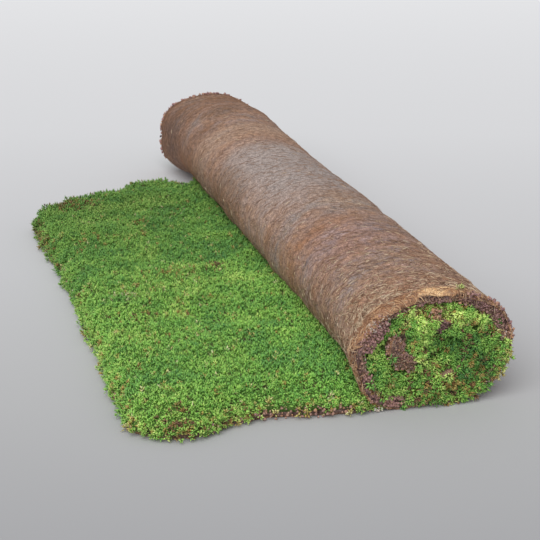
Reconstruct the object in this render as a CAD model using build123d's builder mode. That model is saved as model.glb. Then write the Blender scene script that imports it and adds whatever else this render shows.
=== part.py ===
"""Sedum mat, half unrolled: a strip of coir carrier with sedum rooted in it, wound plants inwards.

The frame is +Z up, +Y along the roll's axis and +X along the strip, from its free end to the roll.
The origin is on the floor, in the middle of the strip's length and width. Sizes are millimetres.
"""

import os
from math import cos, radians, sin

from build123d import *

# Strip
MAT_WIDTH = 1200.0  # along the roll's axis
FLAT_RUN = 407.0  # unrolled length, from the free end to where the strip leaves the floor
CARRIER = 14.0  # coir fleece with the roots and the growing medium in it
PLANTS = 30.0  # height of the planting where nothing presses on it

# Roll, measured over the carrier
ROLL_HEIGHT = 151.0
ROLL_WIDTH = 200.0
FOOT_RADIUS = 108.0  # where the strip leaves the floor
END_RADIUS = 45.0  # the strip's inner end
FLAT_SWEEP = 60.0  # degrees turned by each top or bottom bend; a side bend turns the rest of 180

# Pressed plants between one turn and the next, in the order in which the strip meets them
UNDER_ROLL = 6.0
RIGHT_SIDE = 33.0
TOP_SIDE = 25.0
LEFT_SIDE = 26.0
CORE = 16.0

# Plan of the unrolled end, whose far edge is worn away. Insets are from the strip's straight edges.
NEAR_CORNER = 38.0  # radius of the worn near corner
NEAR_CORNER_INSET = 17.0  # free edge beside that corner
WAIST_INSET = 20.0  # free edge where it draws in most
WAIST_RUN = 280.0  # from the near edge to that waist
FAR_CORNER_INSET = 366.0  # far edge at the free end
FAR_SHOULDER_INSET = 226.0  # far edge beside the roll
FAR_SHOULDER_REACH = 175.0  # from the foot back to that shoulder
FAR_NOTCH_INSET = 262.0  # far edge where it goes under the roll
FAR_NOTCH_REACH = 117.0  # from the foot back to that notch

SIDE_SWEEP = 180.0 - FLAT_SWEEP
MARGIN = 5.0  # how far cutting tools reach past what they cut


def bend_radii():
    """Radii of the roll's bends over the carrier, from the foot to the strip's inner end.

    A caliper across each bend spans that bend and a part of its two neighbours. Each span is
    two spans back, less one carrier and the plants between the turns.
    """
    spans = [ROLL_HEIGHT, ROLL_WIDTH]
    for gap in (UNDER_ROLL, RIGHT_SIDE, TOP_SIDE, LEFT_SIDE, CORE):
        spans.append(spans[-2] - CARRIER - gap)
    across = [2 * sin(radians(SIDE_SWEEP / 2)), 2 * sin(radians(FLAT_SWEEP / 2))]
    beside = [1 - cos(radians(FLAT_SWEEP / 2)), 1 - cos(radians(SIDE_SWEEP / 2))]
    radii = [FOOT_RADIUS] + [span / 2 for span in spans] + [END_RADIUS]
    for _ in range(100):
        for i, span in enumerate(spans, start=1):
            neighbours = radii[i - 1] + radii[i + 1]
            radii[i] = (span - beside[(i - 1) % 2] * neighbours) / across[(i - 1) % 2]
    return radii


def bend_sweeps(count):
    """Degrees turned by each bend: half a flat bend first and last, and whole ones between."""
    sweeps = [SIDE_SWEEP if i % 2 else FLAT_SWEEP for i in range(count)]
    sweeps[0] = FLAT_SWEEP / 2
    sweeps[-1] = FLAT_SWEEP / 2
    return sweeps


RADII = bend_radii()
SWEEPS = bend_sweeps(len(RADII))
FOOT_REACH = RADII[0] * sin(radians(FLAT_SWEEP / 2)) + RADII[1] * (1 - cos(radians(SIDE_SWEEP / 2)))
LENGTH = FLAT_RUN + FOOT_REACH
FREE_X = -LENGTH / 2
FOOT_X = FREE_X + FLAT_RUN
NEAR_Y = -MAT_WIDTH / 2
FAR_Y = MAT_WIDTH / 2
SECTION = Plane.XZ.offset(NEAR_Y)  # at the far end; extrusions from it run to the near end
FIRST_TURN = 4  # bends from the foot to the left side


def wind(start, depth, count):
    """Tangent arcs that wind the strip from start, depth inside the carrier's outer face."""
    arcs = []
    point, heading = start, (1, 0)
    for radius, sweep in list(zip(RADII, SWEEPS))[:count]:
        arcs.append(JernArc(point, heading, radius - depth, sweep))
        point, heading = arcs[-1] @ 1, arcs[-1] % 1
    return arcs


# Section of the carrier: the flat run and the turns of the roll
with BuildSketch(SECTION) as carrier_section:
    with BuildLine():
        outer = [Line((FREE_X, 0), (FOOT_X, 0))] + wind((FOOT_X, 0), 0, len(RADII))
        inner = [Line((FREE_X, CARRIER), (FOOT_X, CARRIER))]
        inner += wind((FOOT_X, CARRIER), CARRIER, len(RADII))
        Line(outer[0] @ 0, inner[0] @ 0)
        Line(outer[-1] @ 1, inner[-1] @ 1)
    make_face()

# Section of everything inside the first turn, down to where the roll rests on the flat run
with BuildSketch(SECTION) as roll_section:
    with BuildLine():
        turn = wind((FOOT_X, 0), 0, FIRST_TURN)
        rest = JernArc(turn[-1] @ 1, turn[-1] % 1, RADII[FIRST_TURN], FLAT_SWEEP / 2)
        Line(rest @ 1, turn[0] @ 0)
    make_face()

# Section of the planting: it covers the flat run and fills the roll between the turns
with BuildSketch(SECTION) as planting_section:
    with Locations((FREE_X, 0)):
        Rectangle(FLAT_RUN, CARRIER + PLANTS, align=(Align.MIN, Align.MIN))
    add(roll_section.sketch_local)
    add(carrier_section.sketch_local, mode=Mode.SUBTRACT)

# Plan of the unrolled end, from its near edge round the free edge to the worn far edge
with BuildSketch(Plane.XY.offset(-MARGIN)) as unrolled_plan:
    with BuildLine():
        near_edge = Line((FOOT_X, NEAR_Y), (FREE_X + NEAR_CORNER_INSET + NEAR_CORNER, NEAR_Y))
        near_corner = JernArc(near_edge @ 1, near_edge % 1, NEAR_CORNER, -90)
        free_edge = Spline(
            near_corner @ 1,
            (FREE_X + WAIST_INSET, NEAR_Y + WAIST_RUN),
            (FREE_X, FAR_Y - FAR_CORNER_INSET),
        )
        far_shoulder = Vector(FOOT_X - FAR_SHOULDER_REACH, FAR_Y - FAR_SHOULDER_INSET)
        far_edge = Spline(
            free_edge @ 1,
            far_shoulder,
            (FOOT_X - FAR_NOTCH_REACH, FAR_Y - FAR_NOTCH_INSET),
            (FOOT_X, FAR_Y),
            tangents=(far_shoulder - free_edge @ 1, (0, 1)),
        )
        Line(far_edge @ 1, near_edge @ 0)
    make_face()

# What the wear takes away: all of the flat run outside that plan, but nothing of the roll above it
with BuildPart() as wear:
    with BuildSketch(Plane.XY.offset(-MARGIN)):
        with Locations((FOOT_X, 0)):
            Rectangle(FLAT_RUN + MARGIN, MAT_WIDTH + 2 * MARGIN, align=(Align.MAX, Align.CENTER))
        add(unrolled_plan.sketch_local, mode=Mode.SUBTRACT)
    extrude(amount=CARRIER + PLANTS + 2 * MARGIN)
    with BuildSketch(Plane.XZ.offset(NEAR_Y - MARGIN)):
        add(roll_section.sketch_local)
    extrude(amount=MAT_WIDTH + 2 * MARGIN, mode=Mode.SUBTRACT)

with BuildPart() as coir_carrier:
    extrude(carrier_section.sketch, amount=MAT_WIDTH)
    add(wear.part, mode=Mode.SUBTRACT)

with BuildPart() as sedum_planting:
    extrude(planting_section.sketch, amount=MAT_WIDTH)
    add(wear.part, mode=Mode.SUBTRACT)

os.makedirs("parts", exist_ok=True)
for name, piece in (("coir_carrier", coir_carrier), ("sedum_planting", sedum_planting)):
    piece.part.label = name
    export_step(piece.part, f"parts/{name}.step")
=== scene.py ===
"""Looks of the half-unrolled sedum mat: coir carrier, its loose fibres, the planting and its shoots.

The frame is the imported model's: metres, +Z up, +Y along the roll's axis, +X from the strip's free end
to the roll. The near end is the one at the lowest Y. A run is a length along the strip's outer face,
from its free end.
"""

import itertools
import math

import bpy
import numpy as np
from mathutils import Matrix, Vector


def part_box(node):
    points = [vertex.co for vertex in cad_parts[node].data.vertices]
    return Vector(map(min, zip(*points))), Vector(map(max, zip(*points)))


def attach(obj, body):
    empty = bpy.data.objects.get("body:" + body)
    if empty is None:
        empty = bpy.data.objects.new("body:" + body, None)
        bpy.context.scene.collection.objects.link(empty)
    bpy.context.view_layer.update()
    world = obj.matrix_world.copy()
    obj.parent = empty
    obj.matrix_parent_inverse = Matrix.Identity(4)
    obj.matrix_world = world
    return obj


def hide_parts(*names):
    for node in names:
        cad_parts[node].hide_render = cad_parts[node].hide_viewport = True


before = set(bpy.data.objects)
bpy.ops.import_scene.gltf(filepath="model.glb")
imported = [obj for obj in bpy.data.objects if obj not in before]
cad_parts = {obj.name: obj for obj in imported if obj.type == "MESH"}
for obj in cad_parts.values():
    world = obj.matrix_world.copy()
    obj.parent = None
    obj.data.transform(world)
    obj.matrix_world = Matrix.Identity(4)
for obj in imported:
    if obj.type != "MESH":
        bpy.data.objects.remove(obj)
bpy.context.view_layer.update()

# Strip and roll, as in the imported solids
CARRIER = 0.014
PLANTS = 0.030
FLAT_RUN = 0.407
ROLL_HEIGHT = 0.151
ROLL_WIDTH = 0.200
FOOT_RADIUS = 0.108
END_RADIUS = 0.045
TURN_GAPS = (0.006, 0.033, 0.025, 0.026, 0.016)  # plants between turns: under, right, top, left, core
FLAT_SWEEP = math.radians(60)
SIDE_SWEEP = math.pi - FLAT_SWEEP
carrier_low, carrier_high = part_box("coir_carrier")
FREE_X = carrier_low.x
NEAR_Y = carrier_low.y
FAR_Y = carrier_high.y
FOOT_X = FREE_X + FLAT_RUN
FLOOR_GAP = 0.0004  # least height of anything that hangs over an edge, and depth of the floor below 0

# Plan of the unrolled end
NEAR_CORNER = 0.038
NEAR_CORNER_INSET = 0.017
NEAR_CORNER_WEAR = 0.006  # more of the free edge worn away beside that corner
NEAR_CORNER_WEAR_Y = (-0.47, -0.55)  # where that begins and is full
WAIST_INSET = 0.020
WAIST_RUN = 0.280
FAR_CORNER_INSET = 0.366
FAR_SHOULDER_Y = 0.374
FAR_EDGE = (
    (FREE_X, 0.234), (-0.214, 0.256), (-0.179, 0.284), (-0.143, 0.307), (-0.109, 0.318),
    (-0.074, 0.330), (-0.057, 0.362), (-0.033, 0.372), (-0.010, FAR_SHOULDER_Y), (0.012, 0.367),
    (0.029, 0.344), (0.042, 0.332), (0.056, 0.332), (FOOT_X, FAR_Y),
)
NEAR_EDGE_WAVES = (
    (-0.214, 0.004), (-0.190, -0.012), (-0.143, -0.012), (-0.099, 0.008), (-0.057, 0.012),
    (0.016, -0.003), (0.080, 0.003), (0.104, 0.006), (0.141, -0.003),
)
NEAR_BARE = (-0.075, 0.040)  # between these x, the near edge shows soil below its shoots
NEAR_BARE_REACH = 0.01  # how far in from that edge
OPEN_SHARE = 0.93  # of the far edge's run, up to where the roll closes on it
OVERHANG = 0.003  # how far the shoots at the edges reach past the bed
RAG = 0.003  # size of the small steps in and out along the edges

# Marks on the flat run: place in plan, radius, and for dry ones how far the shoots have withered
DRY_MARKS = (
    (-0.182, 0.247, 0.030, 0.60), (-0.089, -0.167, 0.014, 0.72), (-0.099, -0.315, 0.012, 0.72),
    (-0.160, -0.317, 0.020, 0.55), (-0.087, 0.099, 0.014, 0.75), (-0.174, -0.229, 0.016, 0.95),
    (-0.176, -0.606, 0.018, 0.50), (-0.018, -0.150, 0.016, 0.50),
)
BARE_MARKS = ((-0.222, -0.555, 0.008), (-0.189, -0.539, 0.005), (-0.018, -0.150, 0.007))

# Camera, fitted to the photograph's outlines
CAMERA_TARGET = (0.039, -0.247, 0.066)
CAMERA_AZIMUTH = math.radians(-15.85)
CAMERA_ELEVATION = math.radians(19.45)
CAMERA_DISTANCE = 1.871
CAMERA_LENS = 86.67  # mm on the sensor below
CAMERA_SENSOR = 36.0


# Numbers

def hashed(cells, seed):
    """Evenly spread numbers from -1 to 1, one for each pair of whole numbers."""
    mixed = cells[:, 0] * 374761393 + cells[:, 1] * 668265263 + seed * 362437
    mixed = ((mixed ^ (mixed >> 13)) * 1274126177) & 0xFFFFFFFF
    mixed = (mixed ^ (mixed >> 16)) & 0xFFFF
    return mixed / 32767.5 - 1


def noise(points, cell, seed):
    """Smooth noise from -1 to 1 at pairs of coordinates, with features about a cell wide."""
    scaled = np.asarray(points, float) / cell
    base = np.floor(scaled).astype(np.int64)
    part = scaled - base
    part = part * part * (3 - 2 * part)
    total = np.zeros(len(scaled))
    for corner in itertools.product((0, 1), repeat=2):
        chosen = np.array(corner)
        weight = np.where(chosen == 1, part, 1 - part).prod(axis=1)
        total += weight * hashed(base + chosen, seed)
    return total


def layered(points, seed, *layers):
    """Noises added up, each from a height and a cell, with the next seed for each."""
    return sum(height * noise(points, cell, seed + i) for i, (height, cell) in enumerate(layers))


def smoothstep(low, high, values):
    """0 below low, 1 above high, and smooth between; low may be above high."""
    t = np.clip((values - low) / (high - low), 0, 1)
    return t * t * (3 - 2 * t)


def window(values, rise, fall):
    """1 between a rise and a fall, each given by its two ends, and 0 outside them."""
    return smoothstep(*rise, values) * smoothstep(fall[1], fall[0], values)


def bell(x, y, middle_x, middle_y, radius):
    """1 at a middle, falling off smoothly round it."""
    return np.exp(-((x - middle_x) ** 2 + (y - middle_y) ** 2) / radius ** 2)


def stacked(*values):
    """Rows of numbers from columns; a single number fills its whole column."""
    return np.stack(np.broadcast_arrays(*values), axis=-1)


def unit(vectors):
    """Vectors taken to a length of 1."""
    return vectors / (np.linalg.norm(vectors, axis=-1, keepdims=True) + 1e-12)


# Strip path

def bend_radii():
    """Radii of the roll's bends over the carrier, from the foot to the strip's inner end."""
    spans = [ROLL_HEIGHT, ROLL_WIDTH]
    for gap in TURN_GAPS:
        spans.append(spans[-2] - CARRIER - gap)
    across = [2 * math.sin(SIDE_SWEEP / 2), 2 * math.sin(FLAT_SWEEP / 2)]
    beside = [1 - math.cos(FLAT_SWEEP / 2), 1 - math.cos(SIDE_SWEEP / 2)]
    radii = [FOOT_RADIUS] + [span / 2 for span in spans] + [END_RADIUS]
    for _ in range(100):
        for i, span in enumerate(spans, start=1):
            neighbours = radii[i - 1] + radii[i + 1]
            radii[i] = (span - beside[(i - 1) % 2] * neighbours) / across[(i - 1) % 2]
    return radii


class Strip:
    """The carrier's outer face in section, by the length run along it from the free end."""

    STEP = 0.001

    def __init__(self):
        radii = bend_radii()
        sweeps = [SIDE_SWEEP if i % 2 else FLAT_SWEEP for i in range(len(radii))]
        sweeps[0] = sweeps[-1] = FLAT_SWEEP / 2
        bends = [stacked((0.0, FLAT_RUN), (FREE_X, FOOT_X), 0.0, 0.0)]
        for radius, sweep in zip(radii, sweeps):
            run, x, z, start = bends[-1][-1]
            turned = np.linspace(0, sweep, math.ceil(radius * sweep / self.STEP) + 1)[1:]
            x = x + radius * (np.sin(start + turned) - math.sin(start))
            z = z - radius * (np.cos(start + turned) - math.cos(start))
            bends.append(stacked(run + radius * turned, x, z, start + turned))
        self.run, self.x, self.z, self.heading = np.vstack(bends).T.copy()
        self.bend_ends = [bend[-1, 0] for bend in bends[1:]]
        self.length = self.run[-1]
        self.rest = (self.bend_ends[3] + self.bend_ends[4]) / 2  # where the roll rests on the flat run
        xs, zs, _, _ = self.at(np.linspace(self.rest, self.bend_ends[2], 400))
        self.crease_x = np.interp(CARRIER + PLANTS, zs, xs)  # where the flat run's shoots meet the roll

    def at(self, run, depth=0.0):
        """x and z at a run, depth inside the outer face, and the normal towards the plants."""
        x, z, heading = (np.interp(run, self.run, values) for values in (self.x, self.z, self.heading))
        nx, nz = -np.sin(heading), np.cos(heading)
        return x + nx * depth, z + nz * depth, nx, nz


strip = Strip()


# Plan outline

def ragged(along, seed):
    """Small steps in and out along an edge."""
    return RAG * layered(stacked(along, 0), seed, (1, 0.024), (0.6, 0.009))


def near_edge(x):
    """Y of the flat run's near edge, with its waves and its rounded corner."""
    beyond = np.clip(1 - (x - FREE_X - NEAR_CORNER_INSET) / NEAR_CORNER, 0, 1)
    rounding = NEAR_CORNER * (1 - np.sqrt(1 - beyond ** 2))
    return NEAR_Y + OVERHANG + np.interp(x, *zip(*NEAR_EDGE_WAVES)) + rounding + ragged(x, 11)


def far_edge(x):
    """Y of the flat run's worn far edge."""
    return np.interp(x, *zip(*FAR_EDGE)) - OVERHANG + ragged(x, 13)


def free_edge(y):
    """X of the flat run's free edge."""
    ys = (NEAR_Y + NEAR_CORNER, NEAR_Y + WAIST_RUN, FAR_Y - FAR_CORNER_INSET)
    bow = np.polyfit(ys, (NEAR_CORNER_INSET, WAIST_INSET, 0), 2)
    inset = np.polyval(bow, np.clip(y, ys[0], ys[2]))
    inset = inset + NEAR_CORNER_WEAR * smoothstep(*NEAR_CORNER_WEAR_Y, y)
    return FREE_X + OVERHANG + inset + ragged(y, 15)


def plan_point(u, v):
    """x and y on the flat run: u from the free edge to the foot, v from the near edge to the far one."""
    x = FREE_X + u * FLAT_RUN
    for _ in range(6):
        y = near_edge(x) + v * (far_edge(x) - near_edge(x))
        x = free_edge(y) + u * (FOOT_X - free_edge(y))
    return x, y


def edge_distance(x, y):
    """About how far a point of the flat run lies inside its outline, negative outside."""
    return np.minimum.reduce([x - free_edge(y), y - near_edge(x), far_edge(x) - y])


def outline_points(spacing):
    """Points evenly round the flat run's open sides, with their outward directions."""
    steps = np.linspace(0, 1, 400)
    u = np.concatenate([steps[::-1], steps * 0, steps * OPEN_SHARE])
    v = np.concatenate([steps * 0, steps, steps * 0 + 1])
    line = stacked(*plan_point(u, v))
    run = np.concatenate([[0], np.cumsum(np.linalg.norm(np.diff(line, axis=0), axis=1))])
    at = np.arange(0, run[-1], spacing)
    places = stacked(np.interp(at, run, line[:, 0]), np.interp(at, run, line[:, 1]))
    tangent = unit(np.gradient(places, axis=0))
    return places, stacked(-tangent[:, 1], tangent[:, 0])


def near_bare(places):
    """Whether places lie on the part of the near edge that shows soil."""
    x, y = places.T
    return (y - near_edge(x) < NEAR_BARE_REACH) & (x > NEAR_BARE[0]) & (x < NEAR_BARE[1])


# Meshes

def make_object(name, points, faces, attributes=None):
    """A smooth-shaded mesh object from points, faces of one size and point attributes of 3 numbers."""
    mesh = bpy.data.meshes.new(name)
    count, corners = faces.shape
    mesh.vertices.add(len(points))
    mesh.vertices.foreach_set("co", np.asarray(points, np.float32).ravel())
    mesh.loops.add(count * corners)
    mesh.loops.foreach_set("vertex_index", np.asarray(faces, np.int32).ravel())
    mesh.polygons.add(count)
    mesh.polygons.foreach_set("loop_start", np.arange(0, count * corners, corners, dtype=np.int32))
    mesh.polygons.foreach_set("use_smooth", np.ones(count, dtype=bool))
    for key, values in (attributes or {}).items():
        layer = mesh.attributes.new(key, "FLOAT_VECTOR", "POINT")
        layer.data.foreach_set("vector", np.asarray(values, np.float32).ravel())
    mesh.update(calc_edges=True)
    mesh.validate()
    piece = bpy.data.objects.new(name, mesh)
    bpy.context.scene.collection.objects.link(piece)
    return piece


def join(parts):
    """One set of points, faces and tones from several."""
    starts = np.cumsum([0] + [len(points) for points, _, _ in parts])
    points, faces, tones = zip(*parts)
    return np.vstack(points), np.vstack([f + start for f, start in zip(faces, starts)]), np.vstack(tones)


def loose_piece(name, parts):
    """Loose parts, each of points, faces and tones, as one piece."""
    points, faces, tones = join(parts)
    return make_object(name, points, faces, {"tone": tones})


def repeated(corners, count, each):
    """Faces of a shape of so many points, for each of its copies."""
    return (np.arange(count)[:, None, None] * each + corners[None]).reshape(-1, 3)


def grid_faces(rows, columns, start=0):
    """Quads of a grid of points in rows."""
    index = np.arange(rows * columns).reshape(rows, columns) + start
    a, b, c, d = index[:-1, :-1], index[:-1, 1:], index[1:, 1:], index[1:, :-1]
    return np.stack([a, b, c, d], axis=-1).reshape(-1, 4)


def grid_rim(rows, columns):
    """Points round the border of such a grid."""
    index = np.arange(rows * columns).reshape(rows, columns)
    return np.concatenate([index[:, 0], index[-1, 1:], index[-2::-1, -1], index[0, -2:0:-1]])


def ring_faces(low, high):
    """Quads between closed rings of points."""
    return np.stack([low, np.roll(low, -1, -1), np.roll(high, -1, -1), high], axis=-1).reshape(-1, 4)


# Coir carrier

RIM_PATCH_X = 0.142  # middle of the pale torn patch on the roll's near rim
RIM_PATCH_HALF = 0.025
RIM_WEAR = 0.016  # how far the rusty wear of that rim reaches along the roll
RIM_ROUND = 0.003  # radius of its worn edge, and how much more there is on top
RIM_TOP_ROUND = 0.0065
FAR_ROUND = 0.005
NEAR_FLARE = 0.009  # how far the roll's left side stands out at its near end
NEAR_SAG = 0.016  # how far its lower left sags there
NEAR_REACH = 0.09  # how far both reach along the roll
FAR_SAG = 0.019  # the same at the far end
FAR_REACH = 0.24
FAR_END = FAR_Y - 0.013  # where the frayed far end of the roll stops
# Heights and widths of the coir's lumps and of the wobble of the roll's ends
COIR_LUMPS = ((0.0022, 0.07), (0.0010, 0.026), (0.0005, 0.011))
NEAR_WOBBLE = ((0.004, 0.03), (0.0012, 0.008))
FAR_WOBBLE = ((0.005, 0.03), (0.003, 0.007))
# Swells on top of the roll: y, reach and height
SWELLS = ((0.42, 0.08, 0.010), (0.27, 0.06, 0.005), (0.055, 0.05, -0.003), (-0.15, 0.09, 0.005))
# Spacing of the carrier's rows where it is flat, on the roll's outside and inside the roll
ROW_STEPS = (0.012, 0.004, 0.007)
# Columns beside the carrier's ends, by their distance from them; those between, and where they begin
END_COLUMNS = (0.0008, 0.002, 0.0035, 0.0055, 0.008, 0.012, 0.018, 0.026)
MIDDLE_COLUMNS = 124
MIDDLE_SHARE = 0.035
COIR_LAYERS = (0, 0.33, 0.67, 1)  # depths of the carrier's layers, as shares of its thickness
END_BAND = 0.03  # how far the looks of the roll's ends reach along it
FLAT_INSETS = (0.012, 0.004)  # of the carrier inside the flat run's outline, as shares of u and v


def worn_edge(inside, radius):
    """How far a rounded edge falls away at a distance inside it."""
    short = np.clip(1 - inside / radius, 0, 1)
    return radius * (1 - np.sqrt(1 - short ** 2))


def rim_wear(run, y):
    """How far the outer face is worn down at the roll's ends, most on top of the near one."""
    top, left = strip.bend_ends[1:3]
    on_top = window(run, (top - 0.02, top + 0.04), (left + 0.03, left + 0.09))
    near = worn_edge(y - NEAR_Y + RIM_ROUND, RIM_ROUND + RIM_TOP_ROUND * on_top)
    return near + worn_edge(FAR_END - y + RIM_ROUND, FAR_ROUND)


def coir_lift(run, y, depth=0.0):
    """How far the carrier stands out from its even shape, a depth inside its outer face."""
    top, left = strip.bend_ends[1:3]
    on_roll = window(run, (FLAT_RUN, FLAT_RUN + 0.06), (strip.rest - 0.02, strip.rest + 0.02))
    on_top = window(run, (top - 0.06, top + 0.02), (left - 0.06, left + 0.02))
    near = smoothstep(NEAR_Y + NEAR_REACH, NEAR_Y, y)
    far = smoothstep(FAR_Y - FAR_REACH, FAR_Y - 0.02, y)
    lumps = layered(stacked(run, y), 1, *COIR_LUMPS)
    flare = NEAR_FLARE * smoothstep(left + 0.040, left + 0.065, run)
    near_sag = NEAR_SAG * smoothstep(left + 0.085, left + 0.130, run)
    far_sag = FAR_SAG * smoothstep(left + 0.065, left + 0.115, run)
    swell = sum(height * np.exp(-((y - at_y) / reach) ** 2) for at_y, reach, height in SWELLS)
    wear = rim_wear(run, y) * (1 - depth / CARRIER)
    return on_roll * (lumps + near * (flare + near_sag) + far * far_sag + on_top * swell - wear)


def section_at(run, depth, y):
    """x and z of the lifted carrier at a run, a depth inside its outer face and one y."""
    x, z, nx, nz = strip.at(run, depth)
    lift = coir_lift(run, y, depth)
    return x - nx * lift, z - nz * lift


def coir_surface(run, y, lift=0.0):
    """Points on the roll's outer face, lifted off it, and the outward normal."""
    x, z, nx, nz = strip.at(run)
    out = coir_lift(run, y) + lift
    normal = stacked(-nx, 0, -nz)
    return stacked(x, y, z) + normal * out[:, None], normal


def top_run(x):
    """Run of the place on top of the roll with this x."""
    runs = np.linspace(strip.bend_ends[1], strip.bend_ends[2], 200)
    xs = strip.at(runs)[0]
    return float(np.interp(x, xs[::-1], runs[::-1]))


def coir_rows():
    """Runs of the carrier's rows."""
    stops = (0, FLAT_RUN, strip.rest, strip.length)
    parts = [np.arange(first, last, step) for first, last, step in zip(stops, stops[1:], ROW_STEPS)]
    return np.concatenate([*parts, [strip.length]])


def coir_layer(runs, shares, depth):
    """One layer of the carrier by rows and columns: points, their run and y, and their kind of face.

    The kind is whether it is a cut edge, whether it is the outer face, and how near the roll's end is.
    """
    run = np.repeat(runs, len(shares))
    share = np.tile(shares, len(runs))
    wobble = stacked(run, depth * 3)
    near = NEAR_Y + layered(wobble, 5, *NEAR_WOBBLE)
    far = FAR_END + layered(wobble, 7, *FAR_WOBBLE)
    y = near + share * (far - near)
    x, z = section_at(run, depth, y)
    points = stacked(x, y, z)
    flat = run < FLAT_RUN
    u = np.maximum(run[flat] / FLAT_RUN, FLAT_INSETS[0])
    v = FLAT_INSETS[1] + (1 - 2 * FLAT_INSETS[1]) * share[flat]
    points[flat, :2] = stacked(*plan_point(u, v))
    end = smoothstep(END_BAND, 0.0, np.minimum(y - NEAR_Y, FAR_END - y))
    return points, stacked(run, y, 0), stacked(0, float(depth == 0), end)


def build_carrier():
    """The carrier as a closed sheet of four layers, so that its cut edges are rough."""
    runs = coir_rows()
    ends = np.array(END_COLUMNS) / (FAR_Y - NEAR_Y)
    middle = np.linspace(MIDDLE_SHARE, 1 - MIDDLE_SHARE, MIDDLE_COLUMNS)
    shares = np.concatenate([[0], ends, middle, 1 - ends[::-1], [1]])
    rows, columns = len(runs), len(shares)
    size = rows * columns
    layers = [coir_layer(runs, shares, depth) for depth in np.array(COIR_LAYERS) * CARRIER]
    rim = grid_rim(rows, columns)
    parts = [layers[0], layers[-1]]
    rings = [rim]
    start = 2 * size
    for points, places, kinds in layers[1:-1]:
        parts.append((points[rim], places[rim], stacked(1, 0, kinds[rim, 2])))
        rings.append(start + np.arange(len(rim)))
        start += len(rim)
    rings.append(rim + size)
    faces = [grid_faces(rows, columns), grid_faces(rows, columns, size)[:, ::-1]]
    faces += [ring_faces(low, high) for low, high in zip(rings, rings[1:])]
    points, places, kinds = (np.vstack(group) for group in zip(*parts))
    return make_object("coir_carrier_skin", points, np.vstack(faces), {"strip": places, "kind": kinds})


# Fibres

STRAND_POINTS = 5
STRAND_SIDES = 3
STRAND_LENGTHS = (0.007, 0.026)
STRAND_RADII = (0.00016, 0.00030)
STRAND_ARCHES = (0.0001, 0.0006)  # how high the middle of a strand stands off the roll
STRAW_RADII = (0.00034, 0.00056)
STRAW_LENGTH = 0.55  # of a strand's
FRINGE_LENGTHS = (0.004, 0.012)
FRINGE_RADII = (0.00018, 0.00040)
OPEN_ROLL = (FLAT_RUN + 0.02, strip.rest - 0.03)  # runs of the roll's open face


def strand_corners():
    """Triangles of one strand: a point, rings of corners and a point again."""
    last = 1 + (STRAND_POINTS - 3) * STRAND_SIDES
    faces = []
    for corner in range(STRAND_SIDES):
        following = (corner + 1) % STRAND_SIDES
        faces.append((0, 1 + following, 1 + corner))
        for ring in range(1, last, STRAND_SIDES):
            a, b = ring + corner, ring + following
            faces += [(a, b, b + STRAND_SIDES), (a, b + STRAND_SIDES, a + STRAND_SIDES)]
        faces.append((last + corner, last + following, last + STRAND_SIDES))
    return np.array(faces)


def strand_tubes(lines, normals, radii, hues, rust):
    """Thin tubes along lines of (strand, point, xyz), pointed at both ends, with hues and rustiness."""
    count = len(lines)
    tangent = unit(np.gradient(lines, axis=1))
    side = unit(np.cross(tangent, normals))
    upward = np.cross(side, tangent)
    taper = np.sin(np.linspace(0.25, math.pi - 0.25, STRAND_POINTS)) ** 0.5
    thick = (radii[:, None] * taper[None, :])[..., None]
    angles = np.arange(STRAND_SIDES) * 2 * math.pi / STRAND_SIDES
    rings = [lines + thick * (math.cos(a) * upward + math.sin(a) * side) for a in angles]
    rings = np.stack(rings, axis=2)[:, 1:-1].reshape(count, -1, 3)
    points = np.concatenate([lines[:, :1], rings, lines[:, -1:]], axis=1)
    each = points.shape[1]
    tones = stacked(np.repeat(hues, each), np.repeat(rust, each), 0)
    return points.reshape(-1, 3), repeated(strand_corners(), count, each), tones


def roll_strands(count, first_y, last_y, seed, runs=OPEN_ROLL, straws=0.0):
    """Fibres that lie on the roll between two y and two runs, with more straws towards the near end."""
    rng = np.random.default_rng(seed)
    middle = first_y + (last_y - first_y) * rng.random(count) ** 1.7
    near = smoothstep(-0.10, NEAR_Y, middle)
    straw = rng.random(count) < 0.015 + 0.22 * near + straws
    length = rng.uniform(*STRAND_LENGTHS, count) * np.where(straw, STRAW_LENGTH, 1.0)
    laid = rng.random(count) < 0.5 - 0.35 * near
    slant = np.where(laid, rng.normal(0.2, 0.6, count), rng.uniform(-1.57, 1.57, count))
    curl = rng.normal(0, 24, count)
    t = np.linspace(-0.5, 0.5, STRAND_POINTS)
    along = t[None, :] * length[:, None]
    angle = slant[:, None] + curl[:, None] * along
    run = rng.uniform(*runs, count)[:, None] + along * np.cos(angle)
    y = middle[:, None] + along * np.sin(angle)
    run = np.clip(run, FLAT_RUN, strip.rest)
    y = np.clip(y, NEAR_Y - 0.004, FAR_END)
    arch = rng.uniform(*STRAND_ARCHES, count) + np.where(rng.random(count) < 0.06, 0.0010, 0)
    lift = arch[:, None] * (1 - (2 * t[None, :]) ** 2) + 0.00005
    line, normal = coir_surface(run.ravel(), y.ravel(), lift.ravel())
    shape = (count, STRAND_POINTS, 3)
    hue = 0.25 + 0.35 * rng.random(count) + near * rng.uniform(-0.36, 0.52, count)
    radius = rng.uniform(*STRAND_RADII, count) * (1 + 0.5 * near)
    hue[straw] = rng.uniform(0.80, 1.0, straw.sum())
    radius[straw] = rng.uniform(*STRAW_RADII, straw.sum())
    on_patch = np.abs(run - top_run(RIM_PATCH_X)).min(axis=1) < RIM_PATCH_HALF - 0.006
    kept = ~(on_patch & (y.min(axis=1) < NEAR_Y + 0.013)) | (rng.random(count) < 0.25)
    rust = smoothstep(RIM_WEAR, RIM_WEAR / 2, middle - NEAR_Y) * rng.random(count)
    made = (line.reshape(shape), normal.reshape(shape), radius, hue, rust)
    return strand_tubes(*(values[kept] for values in made))


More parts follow.
